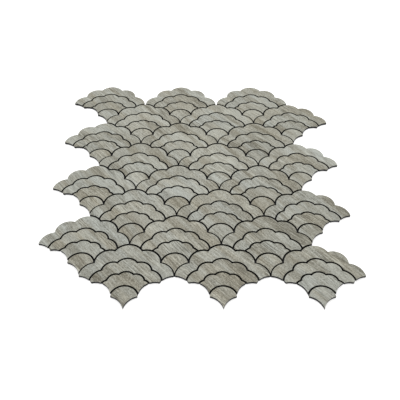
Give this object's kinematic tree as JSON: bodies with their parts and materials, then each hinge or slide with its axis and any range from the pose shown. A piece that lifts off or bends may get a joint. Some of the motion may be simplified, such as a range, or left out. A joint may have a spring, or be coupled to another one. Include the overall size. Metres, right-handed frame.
{
  "type": "self-adhesive metal mosaic tile",
  "caption": "Interlocking sheet of scalloped cloud fans, each of nested arch chips of stone-printed metal-faced board on a dark self-adhesive backing, for covering walls",
  "frame": {"origin": "on the adhesive face, at the middle of the sheet", "axes": "+Z out of the printed face, +Y towards the fans' crowns, +X along the rows"},
  "size_m": [0.2958, 0.3117, 0.003],
  "materials": {
    "stone_print_metal": "satin grey stone print with a fine slanting vein, dark core at the cut edge",
    "adhesive_backing": "matt black self-adhesive film"
  },
  "bodies": {
    "root": {"outer_arch_row_1": "stone_print_metal", "outer_arch_row_2": "stone_print_metal", "outer_arch_row_3": "stone_print_metal", "outer_arch_row_4": "stone_print_metal", "outer_arch_row_5": "stone_print_metal", "outer_arch_row_6": "stone_print_metal", "outer_arch_row_7": "stone_print_metal", "outer_arch_row_8": "stone_print_metal", "middle_arch_row_1": "stone_print_metal", "middle_arch_row_2": "stone_print_metal", "middle_arch_row_3": "stone_print_metal", "middle_arch_row_4": "stone_print_metal", "middle_arch_row_5": "stone_print_metal", "middle_arch_row_6": "stone_print_metal", "middle_arch_row_7": "stone_print_metal", "middle_arch_row_8": "stone_print_metal", "inner_arch_row_1": "stone_print_metal", "inner_arch_row_2": "stone_print_metal", "inner_arch_row_3": "stone_print_metal", "inner_arch_row_4": "stone_print_metal", "inner_arch_row_5": "stone_print_metal", "inner_arch_row_6": "stone_print_metal", "inner_arch_row_7": "stone_print_metal", "inner_arch_row_8": "stone_print_metal", "fan_tip_row_1": "stone_print_metal", "fan_tip_row_2": "stone_print_metal", "fan_tip_row_3": "stone_print_metal", "fan_tip_row_4": "stone_print_metal", "fan_tip_row_5": "stone_print_metal", "fan_tip_row_6": "stone_print_metal", "fan_tip_row_7": "stone_print_metal", "fan_tip_row_8": "stone_print_metal", "adhesive_backing": "adhesive_backing"}
  },
  "joints": []
}
